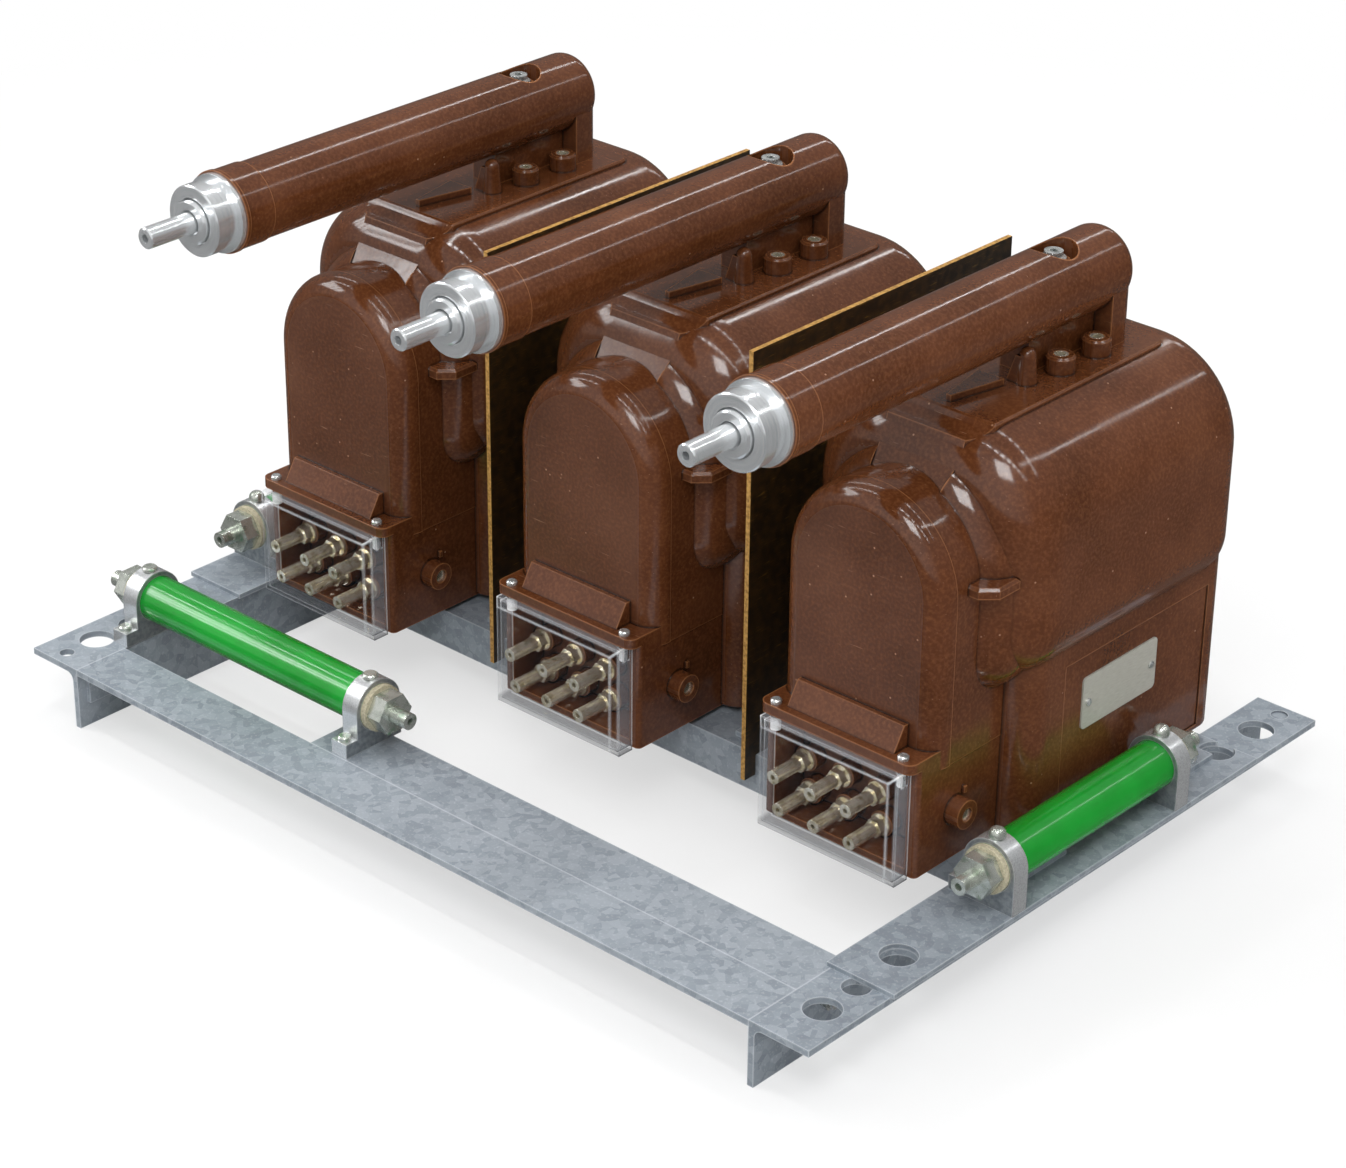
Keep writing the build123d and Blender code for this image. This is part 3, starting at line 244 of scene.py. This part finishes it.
zincCoat = {
    # the pale tint serves both the grain marks and the painted edge highlight; the dark tint is painted shade
    # in the inside corners
    "greys": [(0.3, "#8A939C"), (0.5, "#9AA3AC"), (0.7, "#A9B1B9")], "paleTintAndEdgeHighlight": "#D2D7DC", "stainAndCreaseShade": "#6A727B",
    "spangleMm": 5, "streakMm": 60, "grainMm": 1.8, "edgeMm": 0.8, "creaseMm": 3, "grainDepthMm": 0.2,
    "spangleShare": 0.35, "markShare": 0.35, "creaseShadeShare": 0.6, "edgeHighlightShare": 0.8, "grainShare": 0.15,
    "dull": 0.5, "duller": 0.58, "metallic": 0.3,
    "lengthways": (1, 0.2, 1), "crossways": (0.2, 1, 1),
}


def makeGalvanisedSteel(name, rolling):
    # Hot-dip galvanised rolled bar: blue-grey spangle, faint streaks along the bar, painted shade in the
    # inside corners and a painted highlight along the outside edges
    look = zincCoat
    material, tree, place = newMaterial(name)
    cells = addNode(tree, "TexVoronoi", {"Vector": place, "Scale": perMetre(look["spangleMm"])})
    crystal = addNode(tree, "SeparateColor", {"Color": cells.outputs["Color"]})
    drawn = addNode(tree, "Mapping", {"Vector": place, "Scale": look[rolling]})
    streaks = addNode(tree, "TexNoise", {"Vector": drawn, "Scale": perMetre(look["streakMm"]), "Detail": 6.0})
    tone = addNode(tree, "Mix", {"Factor": look["spangleShare"], "A": streaks, "B": crystal})
    colour = addNode(tree, "ValToRGB", {"Fac": tone}, stops=look["greys"])
    grain = addNode(tree, "TexNoise", {"Vector": place, "Scale": perMetre(look["grainMm"]), "Detail": 2.0})
    marks = addNode(tree, "MapRange", {"Value": grain, "From Min": 0.56, "From Max": 0.75,
                                       "To Max": look["markShare"]})
    colour = addNode(tree, "Mix", {"Factor": marks, "A": colour, "B": look["paleTintAndEdgeHighlight"]}, data_type="RGBA")
    # painted shade: the inside corners are darkened
    creaseShade = addNode(tree, "Math", {0: findEdges(tree, look["creaseMm"], outside=False),
                                    1: look["creaseShadeShare"]}, operation="MULTIPLY")
    colour = addNode(tree, "Mix", {"Factor": creaseShade, "A": colour, "B": look["stainAndCreaseShade"]}, data_type="RGBA")
    # painted highlight: a bright line along the outside edges
    edge = addNode(tree, "Math", {0: findEdges(tree, look["edgeMm"]), 1: look["edgeHighlightShare"]},
                   operation="MULTIPLY")
    colour = addNode(tree, "Mix", {"Factor": edge, "A": colour, "B": look["paleTintAndEdgeHighlight"]}, data_type="RGBA")
    roughness = addNode(tree, "MapRange", {"Value": tone, "From Min": 0.3, "From Max": 0.7,
                                           "To Min": look["dull"], "To Max": look["duller"]})
    surface = addNode(tree, "Bump", {"Height": grain, "Strength": look["grainShare"],
                                     "Distance": look["grainDepthMm"] * mm})
    finishMaterial(tree, {"Base Color": colour, "Metallic": look["metallic"], "Roughness": roughness,
                          "Normal": surface})
    return material


# Barrier plates

laminateSheet = {
    "weave": [(0.38, "#1C1102"), (0.68, "#3A270B")], "sawn": [(0.35, "#8F6426"), (0.6, "#C6974C")],
    "fibre": "#8A6A2C",
    "weaveMm": 5, "fibreMm": 9, "layerMm": 2.1, "fibreDepthMm": 0.2,
    "fibreShare": 0.7, "bumpShare": 0.2, "roughness": 0.42, "ior": 1.55,
}


def makeLaminate():
    # Pressed phenolic laminate: dark olive-brown faces with golden fibres, tan cut edges that show the
    # layers. Real layers are near 0.2 mm, drawn coarser so that they show.
    look = laminateSheet
    material, tree, place = newMaterial("phenolicLaminate")
    weave = addNode(tree, "TexNoise", {"Vector": place, "Scale": perMetre(look["weaveMm"]), "Detail": 4.0})
    face = addNode(tree, "ValToRGB", {"Fac": weave}, stops=look["weave"])
    hung = addNode(tree, "Mapping", {"Vector": place, "Rotation": (0.5, 0, 0), "Scale": (1, 1, 12)})
    strands = addNode(tree, "TexNoise", {"Vector": hung, "Scale": perMetre(look["fibreMm"]), "Detail": 3.0})
    strand = addNode(tree, "MapRange", {"Value": strands, "From Min": 0.62, "From Max": 0.76,
                                        "To Max": look["fibreShare"]})
    face = addNode(tree, "Mix", {"Factor": strand, "A": face, "B": look["fibre"]}, data_type="RGBA")
    layers = addNode(tree, "TexNoise", {"Vector": place, "Scale": perMetre(look["layerMm"]), "Detail": 3.0})
    cut = addNode(tree, "ValToRGB", {"Fac": layers}, stops=look["sawn"])
    onEdge = addNode(tree, "Math", {0: facing(tree, "X"), 1: 0.5}, operation="LESS_THAN")
    colour = addNode(tree, "Mix", {"Factor": onEdge, "A": face, "B": cut}, data_type="RGBA")
    surface = addNode(tree, "Bump", {"Height": strands, "Strength": look["bumpShare"],
                                     "Distance": look["fibreDepthMm"] * mm})
    finishMaterial(tree, {"Base Color": colour, "Roughness": look["roughness"], "Normal": surface,
                          "IOR": look["ior"]})
    return material


# Resistors and their brackets

greenEnamel = {
    "greens": [(0.3, "#048A22"), (0.65, "#08A02D")],
    "patchMm": 40, "rippleMm": 9, "rippleDepthMm": 0.2, "rippleShare": 0.05,
    "roughness": 0.22, "ior": 1.52, "coat": 0.5, "coatRoughness": 0.03,
}


def makeEnamel():
    # Vitreous enamel fired on a ceramic tube: even saturated green under a hard clear gloss
    look = greenEnamel
    material, tree, place = newMaterial("vitreousEnamel")
    tone = addNode(tree, "TexNoise", {"Vector": place, "Scale": perMetre(look["patchMm"]), "Detail": 5.0})
    colour = addNode(tree, "ValToRGB", {"Fac": tone}, stops=look["greens"])
    ripple = addNode(tree, "TexNoise", {"Vector": place, "Scale": perMetre(look["rippleMm"]), "Detail": 1.0})
    surface = addNode(tree, "Bump", {"Height": ripple, "Strength": look["rippleShare"],
                                     "Distance": look["rippleDepthMm"] * mm})
    finishMaterial(tree, {"Base Color": colour, "Roughness": look["roughness"], "Normal": surface,
                          "IOR": look["ior"], "Coat Weight": look["coat"],
                          "Coat Roughness": look["coatRoughness"]})
    return material


castClamp = {
    "rims": [(0.3, "#C6C9CB"), (0.6, "#E4E6E7")], "sides": [(0.35, "#868C90"), (0.65, "#A4A9AC")],
    # the pale colour here is only the painted highlight along the outside edges
    "paleTintAndEdgeHighlight": "#E4E6E7",
    "brushMm": 0.9, "grainMm": 3, "edgeMm": 0.8, "softenMm": 0.7, "grainDepthMm": 0.2,
    "edgeHighlightShare": 0.8, "grainShare": 0.12, "rimRoughness": 0.26, "sideRoughness": 0.45, "metallic": 0.7,
    "frontRowMm": 50,
}


def makeClampAluminium():
    # Sand-cast aluminium with linished rims: bright brushed bands, duller grained sides, and a painted
    # highlight, a pale line along the outside edges.
    # Real brush lines are near 0.1 mm, drawn coarser so that they show.
    look = castClamp
    material, tree, place = newMaterial("castAluminium")

    # the front resistor lies across the frame and the side ones along it, so their brackets' sides
    # face along X and along Y
    frontRow = middleOf("resistor_front").y + look["frontRowMm"] * mm
    depth = addNode(tree, "SeparateXYZ", {"Vector": place}).outputs["Y"]
    atFront = addNode(tree, "Math", {0: depth, 1: frontRow}, operation="LESS_THAN")
    along = addNode(tree, "Mix", {"Factor": atFront, "A": facing(tree, "Y"), "B": facing(tree, "X")})
    sideways = addNode(tree, "Math", {0: along, 1: 0.7}, operation="GREATER_THAN")

    brush = addNode(tree, "TexNoise", {"Vector": place, "Scale": perMetre(look["brushMm"]), "Detail": 2.0})
    grain = addNode(tree, "TexNoise", {"Vector": place, "Scale": perMetre(look["grainMm"]), "Detail": 5.0})
    rim = addNode(tree, "ValToRGB", {"Fac": brush}, stops=look["rims"])
    side = addNode(tree, "ValToRGB", {"Fac": grain}, stops=look["sides"])
    colour = addNode(tree, "Mix", {"Factor": sideways, "A": rim, "B": side}, data_type="RGBA")
    # painted highlight: a bright line along the outside edges
    edge = addNode(tree, "Math", {0: findEdges(tree, look["edgeMm"]), 1: look["edgeHighlightShare"]},
                   operation="MULTIPLY")
    colour = addNode(tree, "Mix", {"Factor": edge, "A": colour, "B": look["paleTintAndEdgeHighlight"]}, data_type="RGBA")
    roughness = addNode(tree, "MapRange", {"Value": sideways, "To Min": look["rimRoughness"],
                                           "To Max": look["sideRoughness"]})
    rounded = addNode(tree, "Bevel", {"Radius": look["softenMm"] * mm}, samples=2)
    surface = addNode(tree, "Bump", {"Height": grain, "Strength": look["grainShare"],
                                     "Distance": look["grainDepthMm"] * mm, "Normal": rounded})
    finishMaterial(tree, {"Base Color": colour, "Metallic": look["metallic"], "Roughness": roughness,
                          "Normal": surface})
    return material


steatite = {
    "creams": [(0.3, "#A59D82"), (0.6, "#CBC3A8")],
    "grainMm": 1.2, "grainDepthMm": 0.1, "grainShare": 0.2, "roughness": 0.6,
}


def makeCeramic():
    # Unglazed steatite: matte cream with a fine grain
    look = steatite
    material, tree, place = newMaterial("unglazedSteatite")
    grain = addNode(tree, "TexNoise", {"Vector": place, "Scale": perMetre(look["grainMm"]), "Detail": 3.0})
    colour = addNode(tree, "ValToRGB", {"Fac": grain}, stops=look["creams"])
    surface = addNode(tree, "Bump", {"Height": grain, "Strength": look["grainShare"],
                                     "Distance": look["grainDepthMm"] * mm})
    finishMaterial(tree, {"Base Color": colour, "Roughness": look["roughness"], "Normal": surface})
    return material


# Clear covers and the bare rating plate

clearSheet = {
    # the white edge colour and the high edge alpha are a painted highlight along the rims
    "body": "#C3C8D0", "edge": "#FFFFFF", "lowBody": "#62676E", "lowEdge": "#34373C",
    "edgeMm": 1.5, "bandMm": 1.9, "lowMm": 4.5, "hazeMm": 30,
    "hazeAlpha": 0.016, "bandAlpha": 0.16, "wallAlpha": 0.17, "footAlpha": 0.42, "edgeAlpha": 0.95,
    "roughness": 0.05, "ior": 1.58,
}


def makeClearCover():
    # Moulded polycarbonate: an almost clear front, milky walls, and rims drawn white and nearly opaque as a
    # painted highlight, turning dark at the foot. The band stays thinner than the 2 mm wall, or it would fog
    # the whole front.
    look = clearSheet
    material, tree, place = newMaterial("clearPolycarbonate")
    foot = min(corner.z for corner in cornersOf("terminal_cover_middle"))
    height = addNode(tree, "SeparateXYZ", {"Vector": place}).outputs["Z"]
    raised = addNode(tree, "MapRange", {"Value": height, "From Min": foot + 0.5 * look["lowMm"] * mm,
                                        "From Max": foot + look["lowMm"] * mm})

    haze = addNode(tree, "TexNoise", {"Vector": place, "Scale": perMetre(look["hazeMm"]), "Detail": 3.0})
    film = addNode(tree, "MapRange", {"Value": haze, "To Max": look["hazeAlpha"]})
    band = findEdges(tree, look["bandMm"])
    front = addNode(tree, "Mix", {"Factor": band, "A": film, "B": look["bandAlpha"]})
    wall = addNode(tree, "Mix", {"Factor": raised, "A": look["footAlpha"], "B": look["wallAlpha"]})
    onWall = addNode(tree, "Math", {0: facing(tree, "Y"), 1: 0.5}, operation="LESS_THAN")
    clear = addNode(tree, "Mix", {"Factor": onWall, "A": front, "B": wall})
    # painted highlight: the rims are drawn white and nearly opaque
    edge = findEdges(tree, look["edgeMm"])
    alpha = addNode(tree, "Mix", {"Factor": edge, "A": clear, "B": look["edgeAlpha"]})

    body = addNode(tree, "Mix", {"Factor": raised, "A": look["lowBody"], "B": look["body"]},
                   data_type="RGBA")
    rim = addNode(tree, "Mix", {"Factor": raised, "A": look["lowEdge"], "B": look["edge"]},
                  data_type="RGBA")
    colour = addNode(tree, "Mix", {"Factor": edge, "A": body, "B": rim}, data_type="RGBA")
    finishMaterial(tree, {"Base Color": colour, "Roughness": look["roughness"], "Alpha": alpha,
                          "IOR": look["ior"]})
    return material


barePlate = {
    "tones": [(0.3, "#B3B0A5"), (0.62, "#C6C4BA")], "rolling": (1, 1, 14),
    "streakMm": 5, "dull": 0.5, "bright": 0.34, "metallic": 0.3,
}


def makeBarePlate():
    # Anodised aluminium sheet with a faint straw tint and a fine rolled grain, nothing printed on it
    look = barePlate
    material, tree, place = newMaterial("anodisedPlate")
    rolled = addNode(tree, "Mapping", {"Vector": place, "Scale": look["rolling"]})
    grain = addNode(tree, "TexNoise", {"Vector": rolled, "Scale": perMetre(look["streakMm"]), "Detail": 5.0})
    colour = addNode(tree, "ValToRGB", {"Fac": grain}, stops=look["tones"])
    roughness = addNode(tree, "MapRange", {"Value": grain, "To Min": look["dull"], "To Max": look["bright"]})
    finishMaterial(tree, {"Base Color": colour, "Metallic": look["metallic"], "Roughness": roughness})
    return material


castResinLook = makeCastResin()
clearCoverLook = makeClearCover()
for unit in unitNames:
    dress(castResinLook, "cast_body_" + unit, "fuse_housing_" + unit)
    dress(clearCoverLook, "terminal_cover_" + unit)
    dress(makeTurnedAluminium(unit), "contact_hub_" + unit, "contact_ring_" + unit,
          "contact_spindle_" + unit)
dress(makeBarePlate(), "nameplate")
print("Units dressed")

dress(makePlatedMetal("nickelPlatedBrass"), "terminal_studs", "terminal_nuts", "terminal_washers",
      "top_inserts", "side_inserts", "base_inserts")
dress(makePlatedMetal("zincPlatedSteel"), "cover_screws", "lug_bolts", "lug_washers", "base_spacers",
      "unit_washers", "unit_bolts", "nameplate_rivets", "strip_bolts", "strip_nuts", "rail_bolts",
      "rail_nuts", "barrier_screws")
dress(makePlatedMetal("zincWithPaintTraces"), "resistor_studs", "resistor_nuts", "bracket_screws")
print("Fasteners dressed")

dress(makeGalvanisedSteel("galvanisedSteelLengthways", "lengthways"), "side_rail_left",
      "side_rail_right", "overlay_strip_left", "overlay_strip_right")
dress(makeGalvanisedSteel("galvanisedSteelCrossways", "crossways"), "front_strip", "rear_strip",
      "strip_cleats", "support_rail_front", "support_rail_rear", "barrier_cleats")
dress(makeLaminate(), "barrier_plate_left", "barrier_plate_right")
dress(makeEnamel(), "resistor_front", "resistor_left", "resistor_right")
dress(makeClampAluminium(), "resistor_brackets")
dress(makeCeramic(), "ceramic_washers", "fuse_cartridge_left", "fuse_cartridge_middle",
      "fuse_cartridge_right")
print("Frame and resistors dressed, materials made:", len(bpy.data.materials))


# Studio: a white sweep, a soft sky, and long lamps that draw the streaks on tubes and shoulders

studio = {
    "floorWidth": 12, "floorColour": "#F2F2F2", "floorMirrored": 0.12, "shadowDepth": 0.4, "shadowReach": 1.3,
    "skyHigh": 0.38, "skyLow": 0.08, "skyFront": 0.6, "skyPlain": 0.55,
    "white": "#FFFFFF", "dashShare": 0.55,
}
lamps = {
    "key": {"place": (1.1, -1.5, 2.2), "aim": (0, 0, 0.15), "size": (0.9, 0.9), "watts": 40, "dashes": 6},
    "leftFill": {
        "place": (-2.0, -1.2, 1.4), "aim": (0, 0, 0.15), "size": (1.2, 0.8), "watts": 30, "dashes": 5,
    },
    "ceilingRowNear": {
        "place": (-0.3, -0.6, 2.2), "aim": (-0.3, -0.6, 0), "size": (5.4, 0.08), "watts": 30, "dashes": 18,
    },
    "ceilingRowFar": {
        "place": (-0.3, 0.7, 2.2), "aim": (-0.3, 0.7, 0), "size": (5.4, 0.08), "watts": 22, "dashes": 18,
    },
    "tubeStreak": {
        "place": (-0.5, 1.6, 2.0), "aim": (-0.5, 1.6, 0), "size": (0.05, 4.4), "watts": 14, "dashes": 0,
    },
    "lowStreak": {
        "place": (1.3, 1.6, 2.0), "aim": (1.3, 1.6, 0), "size": (0.05, 3.6), "watts": 7, "dashes": 0,
    },
}
camera = {"place": (1.2384, -1.3643, 1.0729), "azimuth": 42.10, "elevation": 27.68, "roll": 0.57,
          "lens": 95.67, "sensor": 36}


def makeFloor():
    # seen directly it is white with the object's shadow, which fades out with distance
    look = studio
    bpy.ops.mesh.primitive_plane_add(size=look["floorWidth"])
    floor = bpy.context.active_object
    floor.name = "whiteFloor"
    material, tree, place = newMaterial("whiteSweep")
    rays = addNode(tree, "LightPath")
    seen = addNode(tree, "Math", {0: rays.outputs["Is Camera Ray"], 1: rays.outputs["Is Transmission Ray"]},
                   operation="MAXIMUM")
    distance = addNode(tree, "VectorMath", {0: place}, operation="LENGTH")
    fade = addNode(tree, "MapRange", {"Value": distance, "From Min": look["shadowReach"] / 2,
                                      "From Max": look["shadowReach"], "To Min": 1 - look["shadowDepth"]})
    whiteShare = addNode(tree, "Math", {0: seen, 1: fade}, operation="MULTIPLY")
    paper = addNode(tree, "BsdfDiffuse", {"Color": look["floorColour"]})
    glow = addNode(tree, "Emission", {"Color": look["white"], "Strength": 1.0})
    seenFloor = addNode(tree, "MixShader", {0: whiteShare, 1: paper, 2: glow})
    dim = addNode(tree, "Emission", {"Color": look["white"], "Strength": look["floorMirrored"]})
    shader = addNode(tree, "MixShader", {0: rays.outputs["Is Glossy Ray"], 1: seenFloor, 2: dim})
    addNode(tree, "OutputMaterial", {"Surface": shader})
    floor.data.materials.append(material)
    return floor


def makeSky():
    # white where it is seen directly, plain for soft light, brighter overhead and in front in reflections
    look = studio
    world = bpy.data.worlds.new("studioSky")
    bpy.context.scene.world = world
    world.use_nodes = True
    tree = world.node_tree
    tree.nodes.clear()
    rays = addNode(tree, "LightPath")
    direction = addNode(tree, "TexCoord").outputs["Generated"]
    compass = addNode(tree, "SeparateXYZ", {"Vector": direction})
    overhead = addNode(tree, "MapRange", {"Value": compass.outputs["Z"], "From Min": -0.1, "From Max": 0.8,
                                          "To Min": look["skyLow"], "To Max": look["skyHigh"]})
    front = addNode(tree, "MapRange", {"Value": compass.outputs["Y"], "From Min": -0.3, "From Max": -0.95,
                                       "To Max": look["skyFront"]})
    gradient = addNode(tree, "Math", {0: overhead, 1: front}, operation="ADD")
    lit = addNode(tree, "Mix", {"Factor": rays.outputs["Is Glossy Ray"], "A": look["skyPlain"],
                                "B": gradient})
    seen = addNode(tree, "Math", {0: rays.outputs["Is Camera Ray"], 1: rays.outputs["Is Transmission Ray"]},
                   operation="MAXIMUM")
    strength = addNode(tree, "Mix", {"Factor": seen, "A": lit, "B": 1.0})
    sky = addNode(tree, "Background", {"Color": look["white"], "Strength": strength})
    addNode(tree, "OutputWorld", {"Surface": sky})


def splitIntoDashes(lampData, count):
    # a row of separate bright tubes along the lamp's long side
    lampData.use_nodes = True
    tree = lampData.node_tree
    tree.nodes.clear()
    spot = addNode(tree, "NewGeometry").outputs["Parametric"]
    along = addNode(tree, "SeparateXYZ", {"Vector": spot}).outputs["X"]
    scaled = addNode(tree, "Math", {0: along, 1: float(count)}, operation="MULTIPLY")
    within = addNode(tree, "Math", {0: scaled}, operation="FRACT")
    lit = addNode(tree, "Math", {0: within, 1: studio["dashShare"]}, operation="LESS_THAN")
    glow = addNode(tree, "Emission", {"Color": studio["white"], "Strength": lit})
    addNode(tree, "OutputLight", {"Surface": glow})


def makeLamp(name):
    values = lamps[name]
    place = Vector(values["place"])
    turn = (Vector(values["aim"]) - place).to_track_quat("-Z", "Y")
    bpy.ops.object.light_add(type="AREA", location=place, rotation=turn.to_euler())
    lamp = bpy.context.active_object
    lamp.name = name
    lamp.data.shape = "RECTANGLE"
    lamp.data.size, lamp.data.size_y = values["size"]
    lamp.data.energy = values["watts"]
    if values["dashes"]:
        splitIntoDashes(lamp.data, values["dashes"])
    return lamp


def makeCamera():
    data = bpy.data.cameras.new("photoView")
    data.lens = camera["lens"]
    data.sensor_width = camera["sensor"]
    viewer = bpy.data.objects.new("photoView", data)
    bpy.context.collection.objects.link(viewer)
    turn = (Matrix.Rotation(math.radians(camera["azimuth"]), 4, "Z")
            @ Matrix.Rotation(math.radians(90 - camera["elevation"]), 4, "X")
            @ Matrix.Rotation(math.radians(camera["roll"]), 4, "Z"))
    viewer.matrix_world = Matrix.Translation(camera["place"]) @ turn
    bpy.context.scene.camera = viewer
    return viewer


makeSky()
makeFloor()
makeCamera()
[makeLamp(name) for name in lamps]
bpy.context.scene.view_settings.view_transform = "Standard"
print("Studio done, lamps:", len(lamps))
